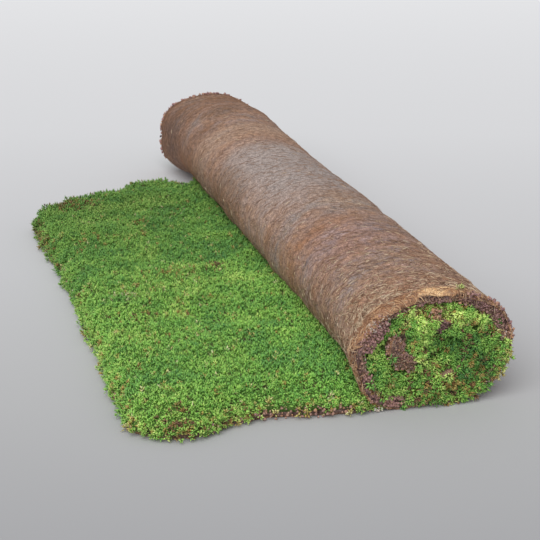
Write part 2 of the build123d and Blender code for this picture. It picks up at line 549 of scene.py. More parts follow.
def rim_strands(count, first, last, end_y, outward, seed):
    """Fibres that fray from the carrier's cut edge between two runs, at one end of the roll."""
    rng = np.random.default_rng(seed)
    run = rng.uniform(first, last, count)
    depth = CARRIER * rng.random(count) ** 1.4
    x, z = section_at(run, depth, end_y)
    _, _, nx, nz = strip.at(run)
    start = stacked(x, end_y - outward * 0.003, z)
    heading = stacked(nz, 0, -nx)
    inward = stacked(nx, 0, nz)
    aim = np.array((0, outward, 0)) * rng.uniform(0.3, 1.0, count)[:, None]
    aim = aim + heading * rng.normal(0, 0.9, count)[:, None] + inward * rng.normal(0.15, 0.3, count)[:, None]
    length = rng.uniform(*FRINGE_LENGTHS, count)[:, None, None]
    t = np.linspace(0, 1, STRAND_POINTS)[None, :, None]
    bend = rng.normal(0, 0.3, (count, 3)) + 0.2 * inward
    line = start[:, None] + length * (t * unit(aim)[:, None] + t ** 2 * bend[:, None])
    normal = np.broadcast_to(-inward[:, None], line.shape)
    radius = rng.uniform(*FRINGE_RADII, count)
    return strand_tubes(line, normal, radius, rng.random(count), np.zeros(count))


# Clods of soil and root

FINE_CLODS = (0.0008, 0.0021)
COARSE_CLODS = (0.0014, 0.0032)
EDGE_CLODS = (0.0010, 0.0026)
PATCH_CLODS = 1.3e6  # per square metre of a patch's square
# Bare patches of root and soil at the near end: x, z, radius and hue
NEAR_PATCHES = (
    (0.058, 0.088, 0.011, 0.35), (0.066, 0.099, 0.012, 0.40), (0.077, 0.110, 0.010, 0.35),
    (0.146, 0.118, 0.009, 0.66), (0.152, 0.104, 0.009, 0.20), (0.063, 0.044, 0.007, 0.42),
    (0.066, 0.031, 0.007, 0.38), (0.070, 0.018, 0.007, 0.42), (0.087, 0.012, 0.008, 0.50),
    (0.100, 0.011, 0.008, 0.45), (0.114, 0.007, 0.006, 0.52), (0.124, 0.004, 0.005, 0.58),
    (0.134, 0.004, 0.005, 0.60), (0.146, 0.004, 0.006, 0.50), (0.158, 0.004, 0.005, 0.60),
    (0.076, 0.002, 0.005, 0.97), (0.217, 0.020, 0.006, 0.92), (0.243, 0.082, 0.007, 0.76),
    (0.068, 0.112, 0.008, 0.84), (0.080, 0.120, 0.007, 0.82),
)


def lump():
    """Points and faces of a ball of twelve points."""
    golden = (1 + 5 ** 0.5) / 2
    points = []
    for a, b in itertools.product((-1, 1), (-golden, golden)):
        points += [(0, a, b), (a, b, 0), (b, 0, a)]
    points = np.array(points)
    faces = []
    for i, j, k in itertools.combinations(range(len(points)), 3):
        sides = points[[j, k, i]] - points[[i, j, k]]
        if np.linalg.norm(sides, axis=1).max() < 2.01:
            outward = np.dot(np.cross(sides[0], sides[1]), points[i]) > 0
            faces.append((i, j, k) if outward else (i, k, j))
    return points / math.hypot(1, golden), np.array(faces)


LUMP_POINTS, LUMP_FACES = lump()
LUMP_SIZE = 0.85  # of a clod's stated size


def clods(places, sizes, hues, seed):
    """Rough lumps at places."""
    rng = np.random.default_rng(seed)
    count, each = len(places), len(LUMP_POINTS)
    arms = LUMP_SIZE * LUMP_POINTS[None] * rng.uniform(0.6, 1.4, (count, each, 1))
    arms = arms + rng.normal(0, 0.18, (count, each, 3))
    points = (places[:, None] + arms * sizes[:, None, None]).reshape(-1, 3)
    points[:, 2] = np.maximum(points[:, 2], FLOOR_GAP)
    return points, repeated(LUMP_FACES, count, each), stacked(np.repeat(hues, each), 0, 0)


def band_clods(count, first, last, depths, sizes, dark, end_y, seed):
    """Clods on the carrier's cut edge at one end, between two runs and two depths.

    The higher dark is, the fewer of them are pale.
    """
    rng = np.random.default_rng(seed)
    run = rng.uniform(first, last, count)
    x, z = section_at(run, rng.uniform(*depths, count), end_y)
    inward = math.copysign(0.0015, -end_y)
    places = stacked(x, end_y + inward + rng.normal(0, 0.002, count), z)
    return clods(places, rng.uniform(*sizes, count), rng.beta(3, 3 + dark, count), seed + 1)


def patch_clods(seed):
    """Clods in the near end's bare patches."""
    rng = np.random.default_rng(seed)
    parts = []
    for patch_x, patch_z, radius, hue in NEAR_PATCHES:
        count = int(PATCH_CLODS * radius ** 2)
        reach, turn = radius * np.sqrt(rng.random(count)), rng.uniform(0, 2 * math.pi, count)
        x, z = patch_x + reach * np.cos(turn), patch_z + reach * np.sin(turn)
        places = stacked(x, NEAR_Y + rng.normal(-0.0005, 0.0018, count), np.maximum(z, 0.002))
        hues = np.clip(hue + rng.normal(0, 0.07, count), 0, 1)
        parts.append(clods(places, rng.uniform(*FINE_CLODS, count), hues, seed + 1))
    return join(parts)


def edge_clods(count, seed):
    """Clods along the flat run's open sides, in groups."""
    rng = np.random.default_rng(seed)
    place, out = outline_points(0.001)
    chosen = rng.integers(0, len(place), count)
    group = noise(place[chosen], 0.035, seed) + rng.normal(0, 0.3, count)
    chosen = chosen[(group > 0.3) | near_bare(place[chosen])]
    count = len(chosen)
    x, y = (place[chosen] - out[chosen] * rng.uniform(-0.004, 0.005, count)[:, None]).T
    places = stacked(x, y, rng.uniform(0.0005, 0.014, count))
    hue = np.where(rng.random(count) < 0.05, 0.97, rng.beta(3, 4, count))
    hue = np.where(near_bare(place[chosen]), 0.35 + 0.45 * hue, hue)
    return clods(places, rng.uniform(*EDGE_CLODS, count), hue, seed + 1)


# Planting bed

BED = 0.0235  # height of the bed over the carrier; the shoots stand on it
BED_INSET = 0.007  # of the bed inside the roll's ends
BED_LUMPS = ((0.0035, 0.085), (0.0022, 0.03), (0.0010, 0.012))  # heights and widths
BED_SLOPES = (0.050, 0.024, 0.003)  # how far in from the near, free and far edges the bed rises
BED_DEPTH = CARRIER * 0.6  # of the bed inside the roll, below the carrier's outer face
END_LUMPS = ((0.006, 0.026), (0.005, 0.013))
GAP_DEPTH = 0.009
# x and z of deep places at the near end
DARK_GAPS = ((0.197, 0.095), (0.140, 0.064), (0.081, 0.079), (0.150, 0.092), (0.163, 0.042), (0.092, 0.056))


def roll_off(inside, reach):
    """How far the bed has risen at a distance inside an edge."""
    return 1 - (1 - np.clip(inside / reach, 0, 1)) ** 2


def bed_height(x, y):
    """Height of the bed over the floor on the flat run."""
    hummocks = layered(stacked(x, y), 31, *BED_LUMPS)
    sides = (y - near_edge(x), x - free_edge(y), far_edge(x) - y)
    slope = np.prod([roll_off(inside, reach) for inside, reach in zip(sides, BED_SLOPES)], axis=0)
    heap = 0.004 * smoothstep(strip.crease_x - 0.035, strip.crease_x - 0.005, x)
    return CARRIER * 0.7 + (CARRIER * 0.3 + BED + hummocks + heap) * (0.12 + 0.88 * slope)


def under_roll(x):
    """Height of the roll's underside over the floor, at its lower left."""
    xs, zs, _, _ = strip.at(np.linspace(strip.rest, strip.bend_ends[2], 200))
    low = zs < 0.09
    xs, zs = xs[low], zs[low]
    order = np.argsort(xs)
    return np.where(x < xs.min(), 1.0, np.interp(x, xs[order], zs[order]))


def flat_bed():
    """The bed of the flat run: a lumpy top, pressed down under the roll, with ragged sides."""
    rows, columns = 56, 136
    size = rows * columns
    steps = np.meshgrid(np.linspace(0.008, 1, rows), np.linspace(0.003, 0.997, columns), indexing="ij")
    x, y = plan_point(*(grid.ravel() for grid in steps))
    top = np.minimum(bed_height(x, y), under_roll(x) + 0.002)
    points = np.vstack([stacked(x, y, top), stacked(x, y, CARRIER * 0.5)])
    rim = grid_rim(rows, columns)
    faces = [grid_faces(rows, columns)[:, ::-1], grid_faces(rows, columns, size), ring_faces(rim + size, rim)]
    return points, np.vstack(faces), points * 0


def roll_loop(count, depth, y):
    """x and z of a loop round the inside of the roll, depth inside the carrier's outer face."""
    return section_at(np.linspace(FLAT_RUN, strip.rest, count), depth, y)


def gap_share(x, z):
    """1 in the middle of the near end's deep places and 0 away from them."""
    nearest = np.minimum.reduce([np.hypot(x - gx, z - gz) for gx, gz in DARK_GAPS])
    return smoothstep(0.009, 0.003, nearest)


def end_height(x, z, outward):
    """How far the bed stands out at an end of the roll."""
    height = layered(stacked(x, z), 41 if outward < 0 else 43, *END_LUMPS) - BED_INSET
    return height - GAP_DEPTH * gap_share(x, z) if outward < 0 else height


def roll_cap(around, rings, outward):
    """Points of the bed at one end of the roll, in rings from the middle outwards."""
    end_y = NEAR_Y if outward < 0 else FAR_END
    x, z = roll_loop(around, BED_DEPTH, end_y)
    ring = np.linspace(0.02, 1, rings)[:, None]
    cap_x = (x.mean() + ring * (x - x.mean())).ravel()
    cap_z = (z.mean() + ring * (z - z.mean())).ravel()
    return stacked(cap_x, end_y + outward * end_height(cap_x, cap_z, outward), cap_z)


def roll_bed():
    """The bed inside the roll, with lumpy ends, as rings from the near end's middle round to it again."""
    around, rings = 132, 24
    near_y = NEAR_Y + np.linspace(0.01, NEAR_REACH, 6)
    far_y = FAR_END - np.linspace(FAR_REACH, 0.01, 9)
    middle_y = np.linspace(near_y[-1], far_y[0], 22)[1:-1]
    parts = [roll_cap(around, rings, -1)]
    for y in np.concatenate([near_y, middle_y, far_y]):
        x, z = roll_loop(around, BED_DEPTH, y)
        parts.append(stacked(x, y, z))
    parts.append(roll_cap(around, rings, 1).reshape(rings, around, 3)[::-1].reshape(-1, 3))
    points = np.vstack(parts)
    index = np.arange(len(points)).reshape(-1, around)
    return points, ring_faces(np.roll(index, -1, 0), index), points * 0


def build_bed():
    """The bed on the flat run and inside the roll."""
    points, faces, _ = join([flat_bed(), roll_bed()])
    return make_object("sedum_bed", points, faces)


# Shoots

LEAF_CORNERS = np.array([(0, 1, 2), (3, 2, 1), (0, 3, 1), (0, 2, 3)])  # base, left, right, tip
LEAF_SHADES = (0.80, 0.95, 0.95, 1.0)  # of those points
LEAF_TURN = 2.4  # radians from each leaf to the next one up
LEAF_WIDTHS = (0.30, 0.42)  # of a leaf's length
FLAT_SIZES = (0.0044, 0.0074)
EDGE_SIZES = (0.0046, 0.0076)
END_SIZES = (0.0054, 0.0090)
RIM_SIZES = (0.0050, 0.0072)
RIM_SHOOTS_X = 0.181  # where shoots grow on the roll's near rim
EDGE_SPACING = 0.0044
EDGE_ROW = 0.0028  # height of each row of shoots on the flat run's sides
# Clumps at the near end that are yellower or duller than the rest, with painted light on the yellower ones
# and painted shade on the duller ones: x, z, radius and how much
NEAR_CLUMPS = (
    (0.127, 0.115, 0.013, 0.55), (0.172, 0.117, 0.009, 0.5), (0.203, 0.112, 0.012, 0.4),
    (0.128, 0.068, 0.010, 0.45), (0.086, 0.103, 0.006, 0.5), (0.118, 0.086, 0.008, 0.4),
    (0.145, 0.033, 0.008, 0.35), (0.075, 0.076, 0.007, 0.3), (0.180, 0.078, 0.020, -0.22),
    (0.090, 0.036, 0.020, -0.10), (0.215, 0.055, 0.012, -0.15), (0.238, 0.066, 0.012, 0.20),
    (0.232, 0.046, 0.010, 0.15),
)


def shoots(roots, axes, sizes, leaves, looks, seed):
    """Shoots of fleshy leaves, keeled below. looks holds each shoot's hue, dryness and lightness; the
    lightness carries the painted light and shade.
    """
    rng = np.random.default_rng(seed)
    count = len(roots)
    each = (count, leaves)
    axes = unit(axes)
    helper = np.where(np.abs(axes[:, 2:3]) < 0.8, (0.0, 0.0, 1.0), (1.0, 0.0, 0.0))
    across = unit(np.cross(axes, helper))
    beside = np.cross(axes, across)
    step = np.arange(leaves)[None, :]
    turn = LEAF_TURN * step + rng.uniform(0, 6.28, (count, 1)) + rng.normal(0, 0.25, each)
    level = (step + rng.uniform(0, 1, each)) / leaves
    tilt = np.radians(78 - 58 * level + rng.normal(0, 9, each))
    size = sizes[:, None] * rng.uniform(0.75, 1.2, each) * (1.05 - 0.35 * level)
    wide = size * rng.uniform(*LEAF_WIDTHS, each)
    stand = sizes[:, None] * (0.1 + 0.75 * level)
    turn, tilt, size, wide, stand = (values[..., None] for values in (turn, tilt, size, wide, stand))
    radial = np.cos(turn) * across[:, None] + np.sin(turn) * beside[:, None]
    side = np.cos(turn) * beside[:, None] - np.sin(turn) * across[:, None]
    axis = np.broadcast_to(axes[:, None], radial.shape)
    along = np.cos(tilt) * axis + np.sin(tilt) * radial
    upper = np.cross(along, side)
    upper *= np.sign((upper * axis).sum(-1, keepdims=True) + 1e-9)
    base = roots[:, None] + axis * stand
    middle = base + along * (0.55 * size) + upper * (0.40 * wide)
    half = side * (0.5 * wide)
    tip = base + along * size + axis * (0.16 * size)
    points = np.stack([base, middle - half, middle + half, tip], axis=2).reshape(-1, 3)
    points[:, 2] = np.maximum(points[:, 2], FLOOR_GAP)
    total = count * leaves
    hue = np.clip(looks[:, :1] + rng.normal(0, 0.09, each), 0, 1)
    dry = np.clip(looks[:, 1:2] + rng.normal(0, 0.05, each), 0, 1)
    # Each leaf's light number: paler towards the tip, times the shoot's lightness with its painted light and
    # shade.
    light = np.tile(LEAF_SHADES, total) * np.repeat(looks[:, 2], 4 * leaves)
    return points, repeated(LEAF_CORNERS, total, 4), stacked(np.repeat(hue, 4), light, np.repeat(dry, 4))


def flat_looks(x, y, rng):
    """Hue, dryness and lightness of shoots on the flat run: drifts, dry marks and a few pale shoots, with
    painted light and shade: lighter towards the near edge and beside the roll, painted shade in the crease at
    the roll's foot.
    """
    at = stacked(x, y)
    count = len(x)
    # Painted light: the hue falls from the near edge to the far one, so the shoots are lighter and yellower
    # near and darker far.
    hue_drift_and_painted_light = 0.46 - 0.10 * y + layered(at, 51, (0.12, 0.10), (0.20, 0.035))
    hue = hue_drift_and_painted_light + rng.normal(0, 0.10, count)
    dry_drift = smoothstep(0.35, 0.95, layered(at, 53, (0.6, 0.05), (0.6, 0.02)))
    dry = np.where(rng.random(count) < 0.012 + 0.20 * dry_drift, rng.uniform(0.66, 0.92, count), 0.0)
    dry = np.where(rng.random(count) < 0.012, rng.uniform(0.82, 1.0, count), dry)
    for mark_x, mark_y, radius, withered in DRY_MARKS:
        share = 0.5 * bell(x, y, mark_x, mark_y, radius)
        dry = np.where(rng.random(count) < share, withered + rng.normal(0, 0.07, count), dry)
    # Painted light: the shoots get lighter towards the near edge and darker towards the far one.
    light = np.interp(y, (NEAR_Y, -0.3, 0.0, 0.25), (1.60, 1.50, 1.18, 0.93))
    # Painted light beside the roll, then painted shade in the crease at its foot.
    light *= np.interp(x, (-0.05, 0.03, 0.05, 0.07), (1.0, 1.10, 0.98, 0.62))
    return stacked(np.clip(hue, 0, 1), np.clip(dry, 0, 1), light)


def build_flat_shoots(spacing, leaves, bands):
    """Shoots on the flat run, twice as many on its slopes, in bands along the roll's axis."""
    rng = np.random.default_rng(61)
    crease = strip.crease_x
    grids = np.meshgrid(
        np.arange(FREE_X, crease + 0.004, spacing),
        np.arange(NEAR_Y - 0.02, FAR_SHOULDER_Y + 0.01, spacing),
    )
    places = []
    for slopes_only in (False, True):
        x, y = (grid.ravel() + rng.uniform(-0.55, 0.55, grid.size) * spacing for grid in grids)
        sloping = (y - near_edge(x) < 0.035) | (x - free_edge(y) < 0.014)
        places.append(stacked(x, y)[sloping | (not slopes_only)])
    x, y = np.vstack(places).T
    inside = edge_distance(x, y) + rng.normal(0, 0.003, len(x)) > 0.003
    for mark_x, mark_y, radius in BARE_MARKS:
        inside &= np.hypot(x - mark_x, 1.6 * (y - mark_y)) > radius
    x, y = x[inside], y[inside]
    root = stacked(x, y, np.minimum(bed_height(x, y), under_roll(x)) - 0.001)
    lean_x, lean_y = rng.normal(0, 0.30, (len(x), 2)).T
    out = smoothstep(0.03, 0.0, edge_distance(x, y))
    lean_x = lean_x - 0.5 * out * smoothstep(0.03, 0.0, x - free_edge(y))
    lean_y = lean_y - 0.5 * out * smoothstep(0.03, 0.0, y - near_edge(x))
    lean_x = lean_x - 0.6 * smoothstep(crease - 0.012, crease + 0.004, x)
    axis = stacked(lean_x, lean_y, 1)
    size = rng.uniform(*FLAT_SIZES, len(x))
    looks = flat_looks(x, y, rng)
    pieces = []
    cuts = np.linspace(y.min(), y.max() + 1e-6, bands + 1)
    for band in range(bands):
        chosen = (y >= cuts[band]) & (y < cuts[band + 1])
        made = shoots(root[chosen], axis[chosen], size[chosen], leaves, looks[chosen], 70 + band)
        pieces.append(loose_piece(f"sedum_shoots_flat_{band + 1}", [made]))
    return pieces


def build_edge_shoots(leaves):
    """Shoots on the flat run's open sides, some of them dry or red, that hang over its edge."""
    rng = np.random.default_rng(81)
    place, out = outline_points(EDGE_SPACING)
    inner_x, inner_y = (place - 0.004 * out).T
    wall = np.minimum(bed_height(inner_x, inner_y), under_roll(inner_x))
    rows = np.clip(np.rint(wall / EDGE_ROW), 3, 14).astype(int)
    first = np.repeat(np.cumsum(rows) - rows, rows)
    place, out, wall, rows = (np.repeat(values, rows, axis=0) for values in (place, out, wall, rows))
    count = len(place)
    level = (np.arange(count) - first + rng.uniform(0, 1, count)) / rows
    tufts = 0.10 + 0.6 * (noise(place, 0.02, 93) > 0.4)
    kept = ~near_bare(place) | (level > 0.75) | (rng.random(count) < tufts)
    place, out, wall, level = (values[kept] for values in (place, out, wall, level))
    count = len(place)
    inset = 0.006 * level - 0.001 + rng.normal(0, 0.0015, count)
    xy = place - out * inset[:, None] + rng.normal(0, 0.0025, (count, 2))
    x, y = xy.T
    root = stacked(x, y, 0.002 + (wall - 0.002) * level)
    aim = out * rng.uniform(0.3, 1.0, count)[:, None] + rng.normal(0, 0.35, (count, 2))
    axis = np.column_stack([aim, rng.uniform(0.1, 1.0, count) + 0.6 * level])
    looks = flat_looks(x, y, rng)
    far = smoothstep(0.0, 0.2, y)
    # The lightness comes from flat_looks with its painted light and shade; at the edges the hue is raised and
    # that lightness lowered, more at the far edge.
    looks[:, 0] = np.clip(looks[:, 0] + 0.10, 0, 1)
    looks[:, 2] *= 0.92 - 0.14 * far
    patch = layered(xy, 91, (1, 0.040), (0.6, 0.016))
    dry = rng.random(count) < 0.05 + 0.10 * far + 0.30 * smoothstep(0.2, 0.9, patch)
    looks[dry, 1] = rng.uniform(0.48, 0.84, dry.sum())
    yellow = near_bare(place) & (rng.random(count) < 0.4)
    looks[yellow, 1] = rng.uniform(0.70, 0.92, yellow.sum())
    size = rng.uniform(*EDGE_SIZES, count)
    return loose_piece("sedum_shoots_edge", [shoots(root, axis, size, leaves, looks, 82)])


def build_rim_shoots(leaves):
    """A few shoots that have taken root on top of the roll's near rim."""
    rng = np.random.default_rng(121)
    count = 5
    run = top_run(RIM_SHOOTS_X) + rng.normal(0, 0.003, count)
    root, normal = coir_surface(run, NEAR_Y + 0.004 + rng.normal(0, 0.002, count), -0.001)
    axis = normal + rng.normal(0, 0.4, (count, 3))
    looks = stacked(1, np.where(rng.random(count) < 0.5, 0.95, 0.0), 1.2)
    size = rng.uniform(*RIM_SIZES, count)
    return loose_piece("sedum_shoots_rim", [shoots(root, axis, size, leaves, looks, 122)])


def band_gap(x, z, y, first, last):
    """Distance in section from points to the middle of the carrier between two runs."""
    px, pz = section_at(np.arange(first, last, 0.003), CARRIER / 2, y)
    return np.sqrt((x[:, None] - px[None]) ** 2 + (z[:, None] - pz[None]) ** 2).min(axis=1)


def bare_bands():
    """Where the carrier's cut edge shows between the shoots: two runs, and half its height there."""
    ends = strip.bend_ends
    return (
        ((ends[0] + ends[1]) / 2 + 0.012, ends[1], CARRIER * 0.80),
        (ends[1], ends[1] + 0.06, CARRIER * 0.75),
        (ends[1] + 0.06, ends[2], CARRIER * 0.64),
        (ends[2], ends[3] + 0.03, CARRIER * 0.72),
        (ends[6] + 0.008, strip.length, CARRIER * 0.65),
    )


def points_inside(x, z, loop_x, loop_z):
    """Whether points lie inside a closed loop, by counting crossings."""
    inside = np.zeros(len(x), dtype=bool)
    for ax, az, bx, bz in zip(loop_x, loop_z, np.roll(loop_x, -1), np.roll(loop_z, -1)):
        if az != bz:
            crosses = (az > z) != (bz > z)
            inside ^= crosses & (x < (bx - ax) * (z - az) / (bz - az) + ax)
    return inside


def end_places(rng, outward, spacing, end_y, loop_x, loop_z):
    """x and z of the shoots at one end, off the bare parts of the carrier, the soil and the gaps."""
    grids = np.meshgrid(
        np.arange(loop_x.min(), loop_x.max(), spacing), np.arange(0.002, ROLL_HEIGHT, spacing)
    )
    x, z = (grid.ravel() + rng.uniform(-0.5, 0.5, grid.size) * spacing for grid in grids)
    inside = points_inside(x, z, loop_x, loop_z)
    ragged_by = rng.normal(0, 0.0022, len(x))
    for first, last, half in bare_bands():
        inside &= band_gap(x, z, end_y, first, last) + ragged_by > half
    if outward < 0:
        inside &= gap_share(x, z) < 0.6
        for patch_x, patch_z, radius, _ in NEAR_PATCHES:
            inside &= np.hypot(x - patch_x, z - patch_z) + ragged_by > radius * 0.9
    return x[inside], z[inside]


def build_end_shoots(name, outward, spacing, leaves, seed):
    """Shoots that fill the roll's turns at one end and hide most of the carrier's inner turn."""
    rng = np.random.default_rng(seed)
    end_y = NEAR_Y if outward < 0 else FAR_END
    loop_x, loop_z = roll_loop(200, 0.001 if outward < 0 else 0.006, end_y)
    x, z = end_places(rng, outward, spacing, end_y, loop_x, loop_z)
    count = len(x)
    on_band = band_gap(x, z, end_y, FLAT_RUN, strip.length) < CARRIER * 0.6
    stand = np.where(on_band, rng.uniform(-0.001, 0.002, count), end_height(x, z, outward))
    root = stacked(x, end_y + outward * (stand - 0.001), z)
    spread = stacked(x - loop_x.mean(), z - loop_z.mean()) / (ROLL_HEIGHT / 2)
    low = smoothstep(0.07, 0.02, z)
    lean = rng.normal(0, 0.36, (count, 2)) + 0.25 * spread * low[:, None]
    axis = stacked(lean[:, 0], outward, lean[:, 1] + 0.05)
    hue = 0.52 + 0.34 * noise(stacked(x, z), 0.018, seed + 1) + rng.normal(0, 0.14, count)
    # Painted light: the shoots at an end share one raised lightness, and at the near end the clumps add
    # painted light to the yellower ones and painted shade to the duller ones.
    light = np.full(count, 1.34)
    if outward < 0:
        for clump_x, clump_z, radius, shift in NEAR_CLUMPS:
            near = shift * bell(x, z, clump_x, clump_z, radius)
            hue += near
            light += 0.8 * near
    right = smoothstep(0.215, 0.240, x)
    dry = np.where(rng.random(count) < 0.12 + 0.18 * low, rng.uniform(0.42, 0.9, count), 0.0)
    dry = np.where(rng.random(count) < 0.35 * right, rng.uniform(0.72, 1.0, count), dry)
    looks = stacked(np.clip(hue, 0, 1), dry, light)
    size = rng.uniform(*END_SIZES, count)
    return loose_piece(name, [shoots(root, axis, size, leaves, looks, seed + 2)])


# Materials

NOISE_SPAN = (0.3, 0.7)  # where most of a noise's values lie
# Streaks of the coir: how fine they are along and across, their slant, detail and roughness
COIR_STREAKS = (
    ((300, 820, 0), 0.2, 4.0, 0.65), ((340, 760, 0), -0.7, 4.0, 0.65), ((340, 700, 0), 1.3, 3.0, 0.6),
)
# Stains on the roll: run, y, how far they reach along each, and the tint they give the coir
COIR_STAINS = (
    (0.80, 0.50, 0.09, 0.11, (0.74, 0.74, 0.76)), (0.70, 0.39, 0.05, 0.05, (0.74, 0.74, 0.72)),
    (0.745, 0.33, 0.05, 0.05, (0.76, 0.76, 0.76)), (0.80, 0.06, 0.07, 0.13, (0.74, 0.73, 0.69)),
    (0.84, 0.36, 0.05, 0.11, (1.25, 1.12, 0.96)), (0.66, -0.21, 0.07, 0.07, (1.04, 0.98, 0.88)),
    (0.71, -0.37, 0.12, 0.11, (0.97, 1.00, 1.14)), (0.79, -0.56, 0.07, 0.06, (1.08, 0.97, 0.82)),
)


class Shader:
    """A material's node tree, with short ways to add and link nodes."""

    def __init__(self, name):
        self.material = bpy.data.materials.new(name)
        self.material.use_nodes = True
        self.nodes = self.material.node_tree.nodes
        self.links = self.material.node_tree.links
        self.surface = self.nodes["Principled BSDF"]

    def put(self, socket, value):
        """Links a socket to the value, or sets the value on it."""
        if isinstance(value, bpy.types.NodeSocket):
            self.links.new(value, socket)
        else:
            socket.default_value = value

    def add(self, kind, inputs=None, **settings):
        """A new node with its settings, and its inputs by name or place."""
        node = self.nodes.new(kind)
        for key, value in settings.items():
            setattr(node, key, value)
        for key, value in (inputs or {}).items():
            self.put(node.inputs[key], value)
        return node

    def attribute(self, name):
        """A point attribute as a vector, and its three numbers apart."""
        vector = self.add("ShaderNodeAttribute", attribute_name=name).outputs["Vector"]
        return vector, self.add("ShaderNodeSeparateXYZ", {0: vector}).outputs

    def position(self):
        """The place in the object's own frame."""
        return self.add("ShaderNodeTexCoord").outputs["Object"]

    def noise(self, vector, scale, detail=3.0, roughness=0.55):
        """Noise from 0 to 1."""
        inputs = {"Vector": vector, "Scale": scale, "Detail": detail, "Roughness": roughness}
        return self.add("ShaderNodeTexNoise", inputs).outputs["Fac"]

    def streaks(self, vector, scale, turn, detail=3.0, roughness=0.55):
        """Noise of a vector that is turned about Z and then scaled."""
        turned = self.add("ShaderNodeMapping", {"Vector": vector, "Rotation": (0, 0, turn)})
        scaled = self.add("ShaderNodeMapping", {"Vector": turned.outputs[0], "Scale": scale})
        return self.noise(scaled.outputs[0], 1.0, detail, roughness)

    def math(self, operation, first, *others):
        """Numbers taken together in turn by one operation."""
        for other in others:
            first = self.add("ShaderNodeMath", {0: first, 1: other}, operation=operation).outputs[0]
        return first

    def plus(self, *values):
        """The sum of numbers."""
        return self.math("ADD", *values)

    def times(self, *values):
        """The product of numbers."""
        return self.math("MULTIPLY", *values)

    def apart(self, a, b):
        """How far apart two numbers are."""
        difference = self.math("SUBTRACT", a, b)
        return self.add("ShaderNodeMath", {0: difference}, operation="ABSOLUTE").outputs[0]

    def scale(self, value, low, high, to_low=0.0, to_high=1.0, kind="LINEAR"):
        """A number from one range taken to another, and kept in it."""
        inputs = {"Value": value, "From Min": low, "From Max": high, "To Min": to_low, "To Max": to_high}
        return self.add("ShaderNodeMapRange", inputs, interpolation_type=kind).outputs["Result"]

    def fade(self, value, low, high):
        """A smooth step from 0 at low to 1 at high."""
        return self.scale(value, low, high, kind="SMOOTHSTEP")

    def vector_math(self, operation, *vectors):
        """A node that takes vectors together by one operation."""
        return self.add("ShaderNodeVectorMath", dict(enumerate(vectors)), operation=operation)

    def spot(self, vector, middle, reach):
        """1 in a middle, falling to 0 at a reach along each axis."""
        away = self.vector_math("SUBTRACT", vector, middle).outputs[0]
        away = self.vector_math("DIVIDE", away, reach).outputs[0]
        return self.fade(self.vector_math("LENGTH", away).outputs["Value"], 1.0, 0.2)

    def ramp(self, factor, *stops):
        """Colours along a factor, each with its place."""
        node = self.add("ShaderNodeValToRGB", {"Fac": factor})
        marks = node.color_ramp.elements
        while len(marks) < len(stops):
            marks.new(0.5)
        for mark, (place, colour) in zip(marks, stops):
            mark.position = place
            mark.color = (*colour, 1.0)
        return node.outputs["Color"]

    def mix(self, factor, a, b, blend="MIX"):
        """Two colours mixed."""
        node = self.add("ShaderNodeMix", data_type="RGBA", blend_type=blend)
        for key, value in ((0, factor), (6, a), (7, b)):
            if isinstance(value, tuple):
                value = (*value, 1.0)
            self.put(node.inputs[key], value)
        return node.outputs[2]

    def tint(self, colour, tint, share=1.0):
        """A colour times a tint, as far as a share."""
        return self.mix(share, colour, tint, "MULTIPLY")

    def grey(self, value):
        """A grey colour from a number."""
        return self.add("ShaderNodeCombineColor", {0: value, 1: value, 2: value}).outputs[0]

    def shade(self, colour, value, span, shades, share=1.0):
        """A colour made darker or lighter as a number goes through a span."""
        return self.tint(colour, self.grey(self.scale(value, *span, *shades)), share)

    def bump(self, height, strength, distance):
        """Bump on the surface's normal."""
        node = self.add("ShaderNodeBump", {"Height": height, "Strength": strength, "Distance": distance})
        self.links.new(node.outputs["Normal"], self.surface.inputs["Normal"])

    def finish(self, colour, roughness, specular):
        """Sets the surface and gives the material."""
        self.put(self.surface.inputs["Base Color"], colour)
        self.put(self.surface.inputs["Roughness"], roughness)
        self.surface.inputs["Specular IOR Level"].default_value = specular
        return self.material


def coir_bands(shader, place, run, y, mottle):
    """The roll's colour at large: warm and grey bands, a greyed top, dark ends, painted shade low on its left
    side, and stains.
    """
    bands = shader.streaks(place, (4, 11, 0), 0.25)
    colour = shader.ramp(
        shader.plus(shader.times(bands, 0.7), shader.times(mottle, 0.3)),
        (0.36, (0.342, 0.188, 0.115)), (0.46, (0.335, 0.202, 0.138)), (0.54, (0.328, 0.216, 0.164)),
        (0.64, (0.290, 0.226, 0.196)),
    )
    hues = shader.fade(shader.noise(place, 62.0, 3.0, 0.6), 0.36, 0.62)
    colour = shader.tint(colour, shader.mix(hues, (1.04, 0.98, 0.90), (0.98, 1.0, 1.07)))
    rings = shader.streaks(place, (7, 52, 0), 0.10)
    colour = shader.shade(colour, rings, NOISE_SPAN, (0.80, 1.20))
    top_start, left_start, left_end = strip.bend_ends[1:4]
    on_top = shader.fade(shader.apart(run, (top_start + left_start) / 2), 0.14, 0.04)
    greyed = shader.times(on_top, shader.fade(y, 0.23, 0.11), shader.fade(y, -0.32, -0.06), 0.85)
    colour = shader.mix(greyed, colour, (0.365, 0.312, 0.290))
    tanned = shader.times(shader.fade(shader.apart(y, 0.25), 0.07, 0.02), 0.6)
    colour = shader.mix(tanned, colour, (0.400, 0.268, 0.190))
    colour = shader.tint(colour, (0.74, 0.70, 0.66), shader.fade(y, 0.3, 0.5))
    # Painted shade: the roll's left side grows darker towards its bottom, where it curves under, in the far
    # half.
    low = shader.fade(run, left_start - 0.01, left_end - 0.05)
    colour = shader.mix(shader.times(low, shader.fade(y, 0.0, 0.35), 0.6), colour, (0.180, 0.098, 0.066))
    for stain_run, stain_y, run_reach, y_reach, tint in COIR_STAINS:
        stain = shader.spot(place, (stain_run, stain_y, 0), (run_reach, y_reach, 1))
        colour = shader.tint(colour, tint, stain)
    return colour


